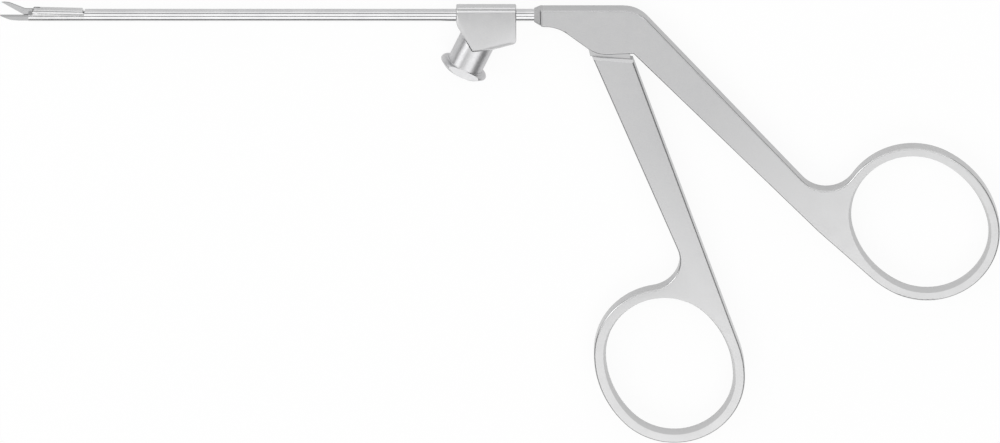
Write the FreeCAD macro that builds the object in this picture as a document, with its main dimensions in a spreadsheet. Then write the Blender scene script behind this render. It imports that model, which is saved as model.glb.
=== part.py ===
import FreeCAD, Part
import math
import os
import Sketcher

# Micro scissors with a tube shaft, a flushing port and a finger-ring handle.
# The instrument lies flat on its side: the tip points along -X, +Y runs from the
# finger rings up to the shaft, and +Z is square to the handle plate. The origin is
# on the handle frame's flat underside, on the axis that the finger lever turns on.

Vector = FreeCAD.Vector
doc = FreeCAD.newDocument("micro_scissors")

# Driving sizes in millimetres and degrees
sizes = {
    # Handle plate
    "plate_thickness": 2.5,
    "edge_round": 0.3,
    "axis_height": 3.52,
    "body_front": 10.62,
    "body_rise": 1.235,
    "chin_drop": 1.66,
    "chin_back": 7.9,
    "chin_round": 5.8,
    "chin_corner_round": 0.5,
    "belly_front": 1.68,
    "belly_drop": 2.91,
    "belly_round": 4.9,
    "inner_corner_back": 4.1,
    "inner_corner_drop": 2.65,
    "inner_corner_round": 0.35,
    "bend_back": 4.74,
    "bend_round": 5.2,
    "outer_slope": 47.9,
    "inner_slope": 45.9,
    "inner_slope_length": 42.0,
    "valley_round": 5.0,
    "nose_length": 0.91,
    "nose_wall": 0.06,
    # Rear finger ring
    "rear_ring_back": 49.42,
    "rear_ring_drop": 31.57,
    "rear_ring_long": 11.64,
    "rear_ring_wide": 10.1,
    "rear_ring_end": 9.68,
    "rear_ring_tilt": 52.6,
    "rear_ring_wall": 1.78,
    "ring_ease_width": 0.42,
    "ring_ease_depth": 0.95,
    # Finger lever and its ring
    "shoulder_front": 2.41,
    "shoulder_front_drop": 3.19,
    "shoulder_back": 3.99,
    "shoulder_back_drop": 3.73,
    "lever_front_slope": 22.5,
    "lever_back_slope": 19.4,
    "lever_valley_round": 5.0,
    "lever_ring_back": 9.94,
    "lever_ring_drop": 55.78,
    "lever_ring_long": 11.47,
    "lever_ring_wide": 9.7,
    "lever_ring_end": 9.26,
    "lever_ring_tilt": 68.2,
    "lever_ring_wall": 1.9,
    "tongue_thickness": 1.3,
    "tongue_head": 0.8,
    "tongue_root_drop": 1.5,
    "slot_clearance": 0.05,
    "slot_reach": 0.12,
    "slot_top_gap": 0.1,
    # Lever pivot and rod drive
    "pivot_diameter": 2.0,
    "pivot_clearance": 0.03,
    "drive_pin_diameter": 0.5,
    "drive_pin_clearance": 0.025,
    "drive_slot_rise": 0.05,
    "eye_thickness": 0.5,
    "eye_clearance": 0.03,
    "eye_radius": 0.55,
    "eye_shank_diameter": 1.1,
    "eye_shank_length": 3.4,
    "eye_socket_depth": 1.8,
    "eye_bore_clearance": 0.1,
    "rod_diameter": 0.6,
    "rod_stroke": 0.5,
    "lever_swing": 8.14,
    # Shaft tube, seal and guide bush
    "shaft_reach": 82.35,
    "tube_diameter": 1.93,
    "tube_wall": 0.3,
    "tube_seat": 3.0,
    "seal_length": 1.3,
    "seal_clearance": 0.012,
    "bush_length": 1.6,
    "bush_clearance": 0.02,
    "notch_slope": 14.0,
    # Flushing port
    "port_setback": 18.48,
    "port_slope": 25.3,
    "block_front": 5.32,
    "block_back": 4.13,
    "block_rise": 1.75,
    "block_thickness": 2.4,
    "block_top_round": 1.19,
    "block_end_round": 0.3,
    "block_cheek_drop": 1.32,
    "block_cheek_round": 2.0,
    "block_tip_front": 2.82,
    "block_tip_drop": 5.8,
    "block_foot_back": 0.48,
    "block_foot_drop": 5.62,
    "block_heel_drop": 4.5,
    "block_heel_round": 0.6,
    "barrel_start": 6.0,
    "barrel_radius": 2.93,
    "barrel_bevel": 0.35,
    "flange_start": 9.32,
    "flange_thickness": 1.23,
    "flange_radius": 3.87,
    "flange_bevel": 0.12,
    "mouth_round": 1.0,
    "flange_flat": 2.93,
    "luer_mouth_radius": 2.15,
    "luer_taper": 1.72,
    "luer_depth": 4.2,
    "feed_diameter": 1.2,
    # Blades, carrier and slide at the tip, measured from the tube's front end
    "parting_height": 0.28,
    "carrier_length": 8.75,
    "spigot_length": 2.0,
    "spigot_clearance": 0.01,
    "blade_thickness": 0.42,
    "blade_gap": 0.02,
    "blade_slit_clearance": 0.03,
    "carrier_slit_length": 1.75,
    "edge_height": 0.05,
    "fixed_blade_length": 4.59,
    "fixed_blade_depth": 0.79,
    "fixed_blade_belly": 3.1,
    "grind_depth": 0.2,
    "blade_pivot_back": 0.28,
    "blade_pivot_drop": 0.22,
    "blade_pin_diameter": 0.4,
    "blade_pin_clearance": 0.02,
    "blade_drive_back": 0.948,
    "blade_drive_height": 0.8,
    "blade_eye_wall": 0.14,
    "blade_swing": 26.0,
    "moving_blade_length": 4.47,
    "moving_blade_rise": 2.35,
    "moving_root_front": 1.06,
    "moving_root_height": 0.32,
    "moving_back_height": 1.2,
    "slide_setback": 0.65,
    "slide_rear": 0.32,
    "slide_nose_height": 0.75,
    "slide_nose_back": 0.33,
    "slide_front_height": 1.265,
    "slide_rear_height": 1.1,
    "slide_width": 1.86,
    "slide_round": 0.8,
    "slide_gap": 0.03,
    "slide_slit_length": 1.2,
    "rib_width": 0.9,
    "rib_drop": 0.4,
    "rib_setback": 2.05,
    "rib_clearance": 0.03,
    "rod_socket": 1.5,
    "rod_groove_clearance": 0.06,
}

sheet = doc.addObject("Spreadsheet::Sheet", "sizes")
for row, (name, value) in enumerate(sizes.items(), start=1):
    cell = "A%d" % row
    sheet.set(cell, str(value))
    sheet.setAlias(cell, name)
doc.recompute()
size = {name: float(sheet.get(name)) for name in sizes}


def bind(thing, **formulas):
    # Ties properties of an object to the sheet
    for prop, formula in formulas.items():
        thing.setExpression(prop.replace("__", "."), words(formula))


def words(formula):
    # Puts the sheet's name in front of every size named in a formula
    text = ""
    word = ""
    for mark in formula + " ":
        if mark.isalpha() or mark == "_":
            word += mark
            continue
        if word in sizes:
            word = "sizes." + word
        text += word + mark
        word = ""
    return text.strip()


def place(thing, across="0", up="0", out="plate_thickness / 2", turn=None):
    bind(thing, Placement__Base__x=across, Placement__Base__y=up, Placement__Base__z=out)
    if turn:
        thing.Placement = FreeCAD.Placement(Vector(0, 0, 0), FreeCAD.Rotation(Vector(0, 0, 1), 1))
        bind(thing, Placement__Rotation__Angle=turn)


def new_body(label):
    body = doc.addObject("PartDesign::Body", label)
    body.Label = label
    return body


def new_sketch(body, name, plane="XY_Plane", lift=None):
    sketch = body.newObject("Sketcher::SketchObject", name)
    support = [item for item in body.Origin.OriginFeatures if item.Role == plane][0]
    sketch.AttachmentSupport = (support, "")
    sketch.MapMode = "FlatFace"
    if lift:
        bind(sketch, AttachmentOffset__Base__z=lift)
    return sketch


def limit(sketch, constraint, name, formula):
    # Adds one named constraint, bound to a formula or set to a worked-out number
    number = sketch.addConstraint(constraint)
    sketch.renameConstraint(number, name)
    if isinstance(formula, str):
        sketch.setExpression("Constraints." + name, words(formula))
    else:
        sketch.setDatum(number, formula)


def polygon(body, name, points, plane="XY_Plane", lift=None):
    # A closed outline of straight lines through the given corners
    sketch = new_sketch(body, name, plane, lift)
    count = len(points)
    ring = [2 * math.pi * step / count for step in range(count + 1)]
    for step in range(count):
        start = Vector(math.cos(ring[step]), math.sin(ring[step]), 0)
        end = Vector(math.cos(ring[step + 1]), math.sin(ring[step + 1]), 0)
        sketch.addGeometry(Part.LineSegment(start, end), False)
    for step in range(count):
        sketch.addConstraint(Sketcher.Constraint("Coincident", step, 2, (step + 1) % count, 1))
    for step, (across, up) in enumerate(points):
        limit(sketch, Sketcher.Constraint("DistanceX", -1, 1, step, 1, 0.5), "across%d" % step, across)
        limit(sketch, Sketcher.Constraint("DistanceY", -1, 1, step, 1, 0.5), "up%d" % step, up)
    return sketch


def circle(body, name, radius, across="0", up="0", plane="XY_Plane", lift=None):
    sketch = new_sketch(body, name, plane, lift)
    sketch.addGeometry(Part.Circle(Vector(0, 0, 0), Vector(0, 0, 1), 1.0), False)
    limit(sketch, Sketcher.Constraint("Radius", 0, 1.0), "radius", radius)
    limit(sketch, Sketcher.Constraint("DistanceX", -1, 1, 0, 3, 0.5), "across", across)
    limit(sketch, Sketcher.Constraint("DistanceY", -1, 1, 0, 3, 0.5), "up", up)
    return sketch


def side_radius(long_radius, wide_radius, end_radius):
    # Radius of the two long arcs of an oval that join its end arcs smoothly
    spare = long_radius ** 2 + wide_radius ** 2 - 2 * long_radius * end_radius
    return spare / (2 * (wide_radius - end_radius))


def oval(body, name, ring, wall=None):
    # Four arcs whose long axis points down to the right: a ring's hole, or its
    # outside, which has the same centres and stands off by the wall
    sketch = new_sketch(body, name)
    sketch.AttachmentOffset = FreeCAD.Placement(Vector(0, 0, 0), FreeCAD.Rotation(Vector(0, 0, 1), 1))
    bind(
        sketch,
        AttachmentOffset__Base__x=ring + "_back",
        AttachmentOffset__Base__y="-" + ring + "_drop",
        AttachmentOffset__Rotation__Angle="-1 * " + ring + "_tilt")
    long_radius = size[ring + "_long"]
    wide_radius = size[ring + "_wide"]
    end_radius = size[ring + "_end"]
    side = side_radius(long_radius, wide_radius, end_radius)
    stand_off = size[wall] if wall else 0.0
    end_shift = long_radius - end_radius
    side_shift = side - wide_radius
    join_angle = math.atan2(side_shift, end_shift)
    arcs = [
        (Vector(end_shift, 0, 0), end_radius, -join_angle, join_angle),
        (Vector(0, -side_shift, 0), side, join_angle, math.pi - join_angle),
        (Vector(-end_shift, 0, 0), end_radius, math.pi - join_angle, math.pi + join_angle),
        (Vector(0, side_shift, 0), side, math.pi + join_angle, 2 * math.pi - join_angle),
    ]
    for centre, radius, start, stop in arcs:
        whole = Part.Circle(centre, Vector(0, 0, 1), radius + stand_off)
        sketch.addGeometry(Part.ArcOfCircle(whole, start, stop), False)
    for step in range(4):
        sketch.addConstraint(Sketcher.Constraint("Coincident", step, 2, (step + 1) % 4, 1))
    radius_text = ring + "_end" + (" + " + wall if wall else "")
    limit(sketch, Sketcher.Constraint("Radius", 0, end_radius + stand_off), "end_radius", radius_text)
    return sketch


def extrude(body, kind, name, profile, length, symmetric=True, **more):
    feature = body.newObject("PartDesign::" + kind, name)
    feature.Profile = profile
    feature.SideType = "Symmetric" if symmetric else "One side"
    for prop, value in more.items():
        setattr(feature, prop, value)
    bind(feature, Length=length)
    doc.recompute()
    return feature


def soften(body, name, test, radius):
    # Rounds every edge of the body so far that passes the test
    base = body.Tip
    edges = ["Edge%d" % (number + 1) for number, edge in enumerate(base.Shape.Edges) if test(edge)]
    feature = body.newObject("PartDesign::Fillet", name)
    feature.Base = (base, edges)
    bind(feature, Radius=radius)
    doc.recompute()
    return feature


def grind(body, name, test, depth):
    # Slopes every edge of the body so far that passes the test
    base = body.Tip
    edges = ["Edge%d" % (number + 1) for number, edge in enumerate(base.Shape.Edges) if test(edge)]
    feature = body.newObject("PartDesign::Chamfer", name)
    feature.Base = (base, edges)
    bind(feature, Size=depth)
    doc.recompute()
    return feature


def middle(edge):
    return edge.valueAt((edge.FirstParameter + edge.LastParameter) / 2)


def upright_near(across, up, reach=0.05):
    # True for an edge square to the plate that stands at this point
    def test(edge):
        box = edge.BoundBox
        spot = middle(edge)
        near = math.hypot(spot.x - across, spot.y - up) < reach
        return near and box.XLength < 1e-4 and box.YLength < 1e-4
    return test


def tangent_point(spot, ring, side):
    # Where a line from a point outside just touches the outside of a ring
    end_radius = size[ring + "_end"]
    side_reach = side_radius(size[ring + "_long"], size[ring + "_wide"], end_radius)
    end_shift = size[ring + "_long"] - end_radius
    side_shift = side_reach - size[ring + "_wide"]
    join_angle = math.atan2(side_shift, end_shift)
    turn = FreeCAD.Rotation(Vector(0, 0, 1), -size[ring + "_tilt"])
    ring_centre = Vector(size[ring + "_back"], -size[ring + "_drop"], 0)
    seen_from = turn.inverted().multVec(spot - ring_centre)
    arcs = [
        (Vector(end_shift, 0, 0), end_radius, 0.0, join_angle),
        (Vector(0, -side_shift, 0), side_reach, math.pi / 2, math.pi / 2 - join_angle),
        (Vector(-end_shift, 0, 0), end_radius, math.pi, join_angle),
        (Vector(0, side_shift, 0), side_reach, -math.pi / 2, math.pi / 2 - join_angle),
    ]
    for centre, radius, facing, spread in arcs:
        away = seen_from - centre
        reach = radius + size[ring + "_wall"]
        if away.Length <= reach:
            continue
        angle = math.atan2(away.y, away.x) + side * math.acos(reach / away.Length)
        off_middle = math.remainder(angle - facing, 2 * math.pi)
        if abs(off_middle) <= spread:
            touch = centre + Vector(math.cos(angle), math.sin(angle), 0) * reach
            return ring_centre + turn.multVec(touch)
    raise RuntimeError("no tangent to " + ring)


def foot_point(spot, direction, target):
    # The point of a line that lies nearest a target
    return spot + direction * (target - spot).dot(direction)


# Handle frame: plate with the shaft seat in front and the rear finger ring
bend = Vector(size["bend_back"], size["axis_height"] + size["body_rise"], 0)
rear_centre = Vector(size["rear_ring_back"], -size["rear_ring_drop"], 0)
outer_angle = math.radians(size["outer_slope"])
inner_angle = math.radians(size["inner_slope"])
outer_way = Vector(math.cos(outer_angle), -math.sin(outer_angle), 0)
inner_way = Vector(math.cos(inner_angle), -math.sin(inner_angle), 0)
inner_corner = Vector(size["inner_corner_back"], -size["inner_corner_drop"], 0)
inner_end = inner_corner + inner_way * size["inner_slope_length"]
outer_foot = foot_point(bend, outer_way, rear_centre)
rear_touch = tangent_point(inner_end, "rear_ring", 1)

frame = new_body("handle_frame")
place(frame)
plate_outline = polygon(frame, "plate_outline", [
    ("-body_front", "axis_height + body_rise"),
    ("bend_back", "axis_height + body_rise"),
    (outer_foot.x, outer_foot.y),
    ("rear_ring_back", "-rear_ring_drop"),
    (rear_touch.x, rear_touch.y),
    (inner_end.x, inner_end.y),
    ("inner_corner_back", "-inner_corner_drop"),
    ("-belly_front", "-belly_drop"),
    ("-chin_back", "axis_height - chin_drop"),
    ("-body_front", "axis_height - chin_drop"),
])
extrude(frame, "Pad", "plate", plate_outline, "plate_thickness")
rear_outer = oval(frame, "rear_ring_outline", "rear_ring", "rear_ring_wall")
extrude(frame, "Pad", "rear_ring", rear_outer, "plate_thickness")
rear_inner = oval(frame, "rear_ring_hole_outline", "rear_ring")
extrude(frame, "Pocket", "rear_ring_hole", rear_inner, "plate_thickness * 2")


def concave_at_slope(edge):
    # The upright edge where the outer slope of the arm runs into the ring
    spot = middle(edge)
    box = edge.BoundBox
    if box.XLength > 1e-4 or box.YLength > 1e-4:
        return False
    gap = (spot - bend).cross(outer_way).Length
    return gap < 0.05 and (spot - bend).Length > 20


soften(frame, "top_bend", upright_near(bend.x, bend.y), "bend_round")
soften(frame, "ring_valley", concave_at_slope, "valley_round")
soften(frame, "belly_curve", upright_near(-size["belly_front"], -size["belly_drop"]), "belly_round")
chin_up = size["axis_height"] - size["chin_drop"]
soften(frame, "chin_curve", upright_near(-size["chin_back"], chin_up), "chin_round")
soften(frame, "chin_corner", upright_near(-size["body_front"], chin_up), "chin_corner_round")
soften(frame, "arm_corner", upright_near(inner_corner.x, inner_corner.y), "inner_corner_round")


def plate_rims(body):
    # Outer edges and hole edges of a plate's two broad faces
    half = size["plate_thickness"] / 2
    outside = []
    holes = []
    for face in body.Tip.Shape.Faces:
        box = face.BoundBox
        if box.ZLength > 1e-4 or abs(abs(box.ZMin) - half) > 1e-4:
            continue
        for wire in face.Wires:
            if wire.isSame(face.OuterWire):
                outside += wire.Edges
            else:
                holes += wire.Edges
    return outside, holes


def one_of(rims, front=None):
    # True for an edge in this list that doesn't reach the front end
    def test(edge):
        listed = any(edge.isSame(rim) for rim in rims)
        return listed and (front is None or edge.BoundBox.XMin > front + 1e-3)
    return test


def hole_rim(body, level):
    return [edge for edge in plate_rims(body)[1] if abs(edge.BoundBox.ZMin - level) < 1e-4]


def ease_ring(body, name):
    # Slopes both edges of the finger hole, which leaves a low crown inside the ring
    for side, sign in (("_near", 1), ("_far", -1)):
        base = body.Tip
        level = sign * size["plate_thickness"] / 2
        rim = hole_rim(body, level)
        edges = [
            "Edge%d" % (number + 1) for number, edge in enumerate(base.Shape.Edges)
            if any(edge.isSame(part) for part in rim)]
        feature = body.newObject("PartDesign::Chamfer", name + side)
        feature.Base = (base, edges)
        feature.ChamferType = "Two distances"
        bind(feature, Size="ring_ease_width", Size2="ring_ease_depth")
        doc.recompute()
        # A closed rim that stands back by a distance grows by a full turn times it
        longer = sum(edge.Length for edge in hole_rim(body, level)) - sum(edge.Length for edge in rim)
        halfway = (size["ring_ease_width"] + size["ring_ease_depth"]) / 2
        too_wide = longer / (2 * math.pi) > halfway
        if too_wide == (size["ring_ease_width"] < size["ring_ease_depth"]):
            feature.FlipDirection = True
            doc.recompute()


soften(frame, "plate_edges", one_of(plate_rims(frame)[0], -size["body_front"]), "edge_round")
ease_ring(frame, "rear_ring_ease")


# Conical nose that runs from the plate's front face down to the tube
def eight_corners(top, low, side, cut):
    # A rectangle about the plate's middle with its corners cut off, from the near top corner round
    return [
        (top + " - " + cut, side), (low + " + " + cut, side),
        (low, side + " - " + cut), (low, "-(" + side + " - " + cut + ")"),
        (low + " + " + cut, "-(" + side + ")"), (top + " - " + cut, "-(" + side + ")"),
        (top, "-(" + side + " - " + cut + ")"), (top, side + " - " + cut),
    ]


nose_base = polygon(frame, "nose_base", eight_corners(
    "axis_height + body_rise", "axis_height - chin_drop + chin_corner_round / 2",
    "plate_thickness / 2", "edge_round"), "YZ_Plane", "-body_front")
collar = "(tube_diameter / 2 + nose_wall)"
collar_cut = collar + " * (1 - tan(22.5 * 1 deg))"
nose_tip = polygon(frame, "nose_tip", eight_corners(
    "axis_height + " + collar, "axis_height - " + collar,
    collar, collar_cut), "YZ_Plane", "-(body_front + nose_length)")
nose = frame.newObject("PartDesign::AdditiveLoft", "nose")
nose.Profile = nose_base
nose.Sections = [nose_tip]
nose.Ruled = True
doc.recompute()

# Slot that the lever's tongue swings in, open only at the underside
front_lean = math.tan(math.radians(size["lever_front_slope"]))
back_lean = math.tan(math.radians(size["lever_back_slope"]))


def front_edge(up, grow=0.0):
    # Where the lever's front edge line stands at a given height
    across = -size["shoulder_front"] - (up + size["shoulder_front_drop"]) * front_lean
    return Vector(across - grow, up, 0)


def back_edge(up, grow=0.0):
    across = size["shoulder_back"] - (up + size["shoulder_back_drop"]) * back_lean
    return Vector(across + grow, up, 0)


swing = math.radians(size["lever_swing"])
tongue_top = size["axis_height"] + size["tongue_head"] + size["slot_top_gap"]
head_reach = size["tongue_head"] + size["slot_reach"]
root_up = -size["tongue_root_drop"]
below = -size["shoulder_front_drop"] - 1.0
sweep = Vector(0, 0, 1)
back_root = FreeCAD.Rotation(sweep, size["lever_swing"]).multVec(back_edge(root_up))
back_foot = FreeCAD.Rotation(sweep, size["lever_swing"]).multVec(back_edge(-size["shoulder_back_drop"]))
front_low = front_edge(below, size["slot_reach"])
front_high = front_edge(root_up, size["slot_reach"])
slot_outline = polygon(frame, "tongue_slot_outline", [
    (front_low.x, front_low.y),
    (front_high.x, front_high.y),
    (-size["axis_height"] * math.sin(swing) - head_reach, size["axis_height"]),
    (-size["axis_height"] * math.sin(swing) - head_reach, tongue_top),
    (head_reach, tongue_top),
    (head_reach, size["axis_height"]),
    (back_root.x + size["slot_reach"], back_root.y + size["slot_reach"]),
    (back_foot.x + size["slot_reach"], back_foot.y + size["slot_reach"]),
    (back_foot.x + size["slot_reach"], below),
])
extrude(frame, "Pocket", "tongue_slot", slot_outline, "tongue_thickness + 2 * slot_clearance")

# Seat for tube, seal and bush, a wider way for the rod end, and the pivot hole
seat = circle(
    frame, "tube_seat_circle", "tube_diameter / 2", "axis_height", "0",
    "YZ_Plane", "-(body_front + nose_length + 0.01)")
extrude(
    frame, "Pocket", "tube_seat_bore", seat,
    "tube_seat + seal_length + bush_length + 0.01", False, Reversed=True)
way = circle(
    frame, "rod_end_way_circle", "eye_shank_diameter / 2 + eye_bore_clearance", "axis_height", "0",
    "YZ_Plane", "-(body_front + nose_length)")
extrude(frame, "Pocket", "rod_end_way", way, "body_front + nose_length - tongue_head", False, Reversed=True)
pivot_circle = circle(frame, "pivot_circle", "pivot_diameter / 2")
extrude(frame, "Pocket", "pivot_bore", pivot_circle, "plate_thickness * 2")

# Finger lever: same plate, thinned to a tongue where it enters the frame
lever = new_body("finger_lever")
place(lever)
lever_centre = Vector(size["lever_ring_back"], -size["lever_ring_drop"], 0)
shoulder_front = front_edge(-size["shoulder_front_drop"])
shoulder_back = back_edge(-size["shoulder_back_drop"])
front_way = Vector(front_lean, -1, 0).normalize()
lever_foot = foot_point(shoulder_front, front_way, lever_centre)
lever_touch = tangent_point(shoulder_back, "lever_ring", -1)
lever_outline = polygon(lever, "lever_outline", [
    ("-shoulder_front", "-shoulder_front_drop"),
    (lever_foot.x, lever_foot.y),
    ("lever_ring_back", "-lever_ring_drop"),
    (lever_touch.x, lever_touch.y),
    ("shoulder_back", "-shoulder_back_drop"),
])
extrude(lever, "Pad", "lever_plate", lever_outline, "plate_thickness")
lever_outer = oval(lever, "lever_ring_outline", "lever_ring", "lever_ring_wall")
extrude(lever, "Pad", "lever_ring", lever_outer, "plate_thickness")
lever_inner = oval(lever, "lever_ring_hole_outline", "lever_ring")
extrude(lever, "Pocket", "lever_ring_hole", lever_inner, "plate_thickness * 2")


def concave_at_lever(edge):
    spot = middle(edge)
    box = edge.BoundBox
    if box.XLength > 1e-4 or box.YLength > 1e-4:
        return False
    gap = (spot - shoulder_front).cross(front_way).Length
    return gap < 0.05 and (spot - shoulder_front).Length > 20


soften(lever, "lever_valley", concave_at_lever, "lever_valley_round")
soften(lever, "lever_edges", one_of(plate_rims(lever)[0]), "edge_round")
ease_ring(lever, "lever_ring_ease")

tongue_front = front_edge(root_up)
tongue_back = back_edge(root_up)
tongue_outline = polygon(lever, "tongue_outline", [
    (shoulder_front.x, shoulder_front.y - 1.2),
    (tongue_front.x, tongue_front.y),
    ("-tongue_head", "axis_height - eye_radius - eye_clearance * 3"),
    ("-tongue_head", "axis_height + tongue_head"),
    ("tongue_head", "axis_height + tongue_head"),
    ("tongue_head", "axis_height"),
    (tongue_back.x, tongue_back.y),
    (shoulder_back.x - 0.1, shoulder_back.y - 1.2),
])
extrude(lever, "Pad", "tongue", tongue_outline, "tongue_thickness")


def tongue_head_corner(edge):
    box = edge.BoundBox
    spot = middle(edge)
    upright = box.XLength < 1e-4 and box.YLength < 1e-4
    return upright and spot.y > size["axis_height"] + 0.5 * size["tongue_head"]


soften(lever, "tongue_head_round", tongue_head_corner, "tongue_head * 0.99")
lever_hole = circle(lever, "lever_pivot_circle", "pivot_diameter / 2 + pivot_clearance")
extrude(lever, "Pocket", "lever_pivot_bore", lever_hole, "plate_thickness * 2")
eye_room = polygon(lever, "eye_room_outline", [
    ("-tongue_head * 1.5", "axis_height - eye_radius - eye_clearance * 3"),
    ("tongue_head * 1.5", "axis_height - eye_radius - eye_clearance * 3"),
    ("tongue_head * 1.5", "axis_height + tongue_head * 1.5"),
    ("-tongue_head * 1.5", "axis_height + tongue_head * 1.5"),
])
extrude(lever, "Pocket", "eye_room", eye_room, "eye_thickness + 2 * eye_clearance")


def long_hole(body, name, radius, across, low, high):
    # An upright slot with round ends, for a pin that rides in it
    sketch = new_sketch(body, name)
    top_circle = Part.Circle(Vector(0, 2, 0), Vector(0, 0, 1), 1)
    low_circle = Part.Circle(Vector(0, 0, 0), Vector(0, 0, 1), 1)
    sketch.addGeometry(Part.ArcOfCircle(top_circle, 0, math.pi), False)
    sketch.addGeometry(Part.LineSegment(Vector(-1, 2, 0), Vector(-1, 0, 0)), False)
    sketch.addGeometry(Part.ArcOfCircle(low_circle, math.pi, 2 * math.pi), False)
    sketch.addGeometry(Part.LineSegment(Vector(1, 0, 0), Vector(1, 2, 0)), False)
    sketch.addConstraint(Sketcher.Constraint("Tangent", 0, 2, 1, 1))
    sketch.addConstraint(Sketcher.Constraint("Tangent", 1, 2, 2, 1))
    sketch.addConstraint(Sketcher.Constraint("Tangent", 2, 2, 3, 1))
    sketch.addConstraint(Sketcher.Constraint("Tangent", 3, 2, 0, 1))
    sketch.addConstraint(Sketcher.Constraint("Vertical", 1))
    limit(sketch, Sketcher.Constraint("Radius", 0, 1.0), "radius", radius)
    limit(sketch, Sketcher.Constraint("DistanceX", -1, 1, 0, 3, 0.1), "across", across)
    limit(sketch, Sketcher.Constraint("DistanceY", -1, 1, 0, 3, 2.0), "high", high)
    limit(sketch, Sketcher.Constraint("DistanceY", -1, 1, 2, 3, 0.1), "low", low)
    return sketch


pin_slot = long_hole(
    lever, "drive_pin_slot", "drive_pin_diameter / 2 + drive_pin_clearance", "0",
    "axis_height", "axis_height + drive_slot_rise")
extrude(lever, "Pocket", "drive_pin_holes", pin_slot, "plate_thickness * 2")


# Pins as plain turned bars
def cylinder(name, radius, length, across, up, out, axis=None):
    bar = doc.addObject("Part::Cylinder", name)
    bind(bar, Radius=radius, Height=length)
    if axis:
        bar.Placement = FreeCAD.Placement(Vector(0, 0, 0), FreeCAD.Rotation(Vector(0, 0, 1), axis))
    bind(bar, Placement__Base__x=across, Placement__Base__y=up, Placement__Base__z=out)
    return bar


ahead = Vector(1, 0, 0)
mid = "plate_thickness / 2"
pivot_pin = cylinder("lever_pivot_pin", "pivot_diameter / 2", "plate_thickness", "0", "0", "0")
drive_pin = cylinder(
    "rod_drive_pin", "drive_pin_diameter / 2", "tongue_thickness", "0", "axis_height",
    mid + " - tongue_thickness / 2")


def cut(label, base, *tools):
    result = doc.addObject("Part::Cut", label)
    result.Base = base
    if len(tools) == 1:
        result.Tool = tools[0]
    else:
        group = doc.addObject("Part::MultiFuse", label + "_cutters")
        group.Shapes = list(tools)
        result.Tool = group
    return result


def join(label, *pieces):
    result = doc.addObject("Part::MultiFuse", label)
    result.Shapes = list(pieces)
    return result


# Push rod, running in the tube from the slide to the eye in the tongue
push_rod = cylinder(
    "push_rod", "rod_diameter / 2",
    "shaft_reach + slide_rear + rod_socket - eye_shank_length + eye_socket_depth",
    "-(shaft_reach + slide_rear + rod_socket)", "axis_height", mid, ahead)

eye_disc = cylinder(
    "eye_disc", "eye_radius", "eye_thickness", "0", "axis_height", mid + " - eye_thickness / 2")
eye_shank = cylinder(
    "eye_shank", "eye_shank_diameter / 2", "eye_shank_length - tongue_head - eye_clearance",
    "-eye_shank_length", "axis_height", mid, ahead)
eye_neck = doc.addObject("Part::Box", "eye_neck")
bind(
    eye_neck, Length="tongue_head + eye_clearance + 0.1", Width="eye_radius * 1.6", Height="eye_thickness",
    Placement__Base__x="-(tongue_head + eye_clearance + 0.1)",
    Placement__Base__y="axis_height - eye_radius * 0.8",
    Placement__Base__z=mid + " - eye_thickness / 2")
eye_socket = cylinder(
    "eye_socket", "rod_diameter / 2", "eye_socket_depth", "-eye_shank_length", "axis_height", mid, ahead)
eye_hole = cylinder("eye_hole", "drive_pin_diameter / 2", "plate_thickness", "0", "axis_height", "0")
rod_eye = cut("rod_end_eye", join("eye_blank", eye_disc, eye_shank, eye_neck), eye_socket, eye_hole)

# Shaft tube with its angled front end and the feed hole under the port
tube_bar = cylinder(
    "tube_bar", "tube_diameter / 2", "shaft_reach - body_front - nose_length + tube_seat",
    "-shaft_reach", "axis_height", mid, ahead)
tube_bore = cylinder(
    "tube_bore", "tube_diameter / 2 - tube_wall", "shaft_reach + 1", "-(shaft_reach + 0.5)",
    "axis_height", mid, ahead)
notch = doc.addObject("Part::Wedge", "front_notch")
bind(
    notch, Xmin="0", X2min="0", X2max="tan(notch_slope * 1 deg) * tube_diameter",
    Ymin="0", Ymax="tube_diameter", Zmin="0", Zmax="tube_diameter * 2",
    Z2min="0", Z2max="tube_diameter * 2",
    Placement__Base__x="-shaft_reach", Placement__Base__y="axis_height + parting_height",
    Placement__Base__z=mid + " - tube_diameter")
notch.Xmax = 0.01


def along_port(name, radius, start, end):
    # A bar along the port's axis, which leans forward as it leaves the tube
    lean = math.radians(size["port_slope"])
    way_out = Vector(-math.sin(lean), -math.cos(lean), 0)
    bar = doc.addObject("Part::Cylinder", name)
    bind(bar, Radius=radius, Height="(" + end + ") - (" + start + ")")
    bar.Placement = FreeCAD.Placement(Vector(0, 0, 0), FreeCAD.Rotation(Vector(0, 0, 1), way_out))
    bind(
        bar,
        Placement__Base__x="-port_setback - (" + start + ") * sin(port_slope * 1 deg)",
        Placement__Base__y="axis_height - (" + start + ") * cos(port_slope * 1 deg)",
        Placement__Base__z=mid)
    return bar


tube_feed = along_port("tube_feed", "feed_diameter / 2", "rod_diameter", "tube_diameter")
tube = cut("shaft_tube", tube_bar, tube_bore, notch, tube_feed)

# Seal and guide bush behind the tube, in the same seat
inner = "-(body_front + nose_length - tube_seat)"
seal_bar = cylinder("seal_bar", "tube_diameter / 2", "seal_length", inner, "axis_height", mid, ahead)
seal_bore = cylinder(
    "seal_bore", "rod_diameter / 2 + seal_clearance", "seal_length * 3",
    inner + " - seal_length", "axis_height", mid, ahead)
seal = cut("rod_seal", seal_bar, seal_bore)
bush_bar = cylinder(
    "bush_bar", "tube_diameter / 2", "bush_length", inner + " + seal_length", "axis_height", mid, ahead)
bush_bore = cylinder(
    "bush_bore", "rod_diameter / 2 + bush_clearance", "bush_length * 3",
    inner + " + seal_length - bush_length", "axis_height", mid, ahead)
bush = cut("rod_guide_bush", bush_bar, bush_bore)

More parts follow.
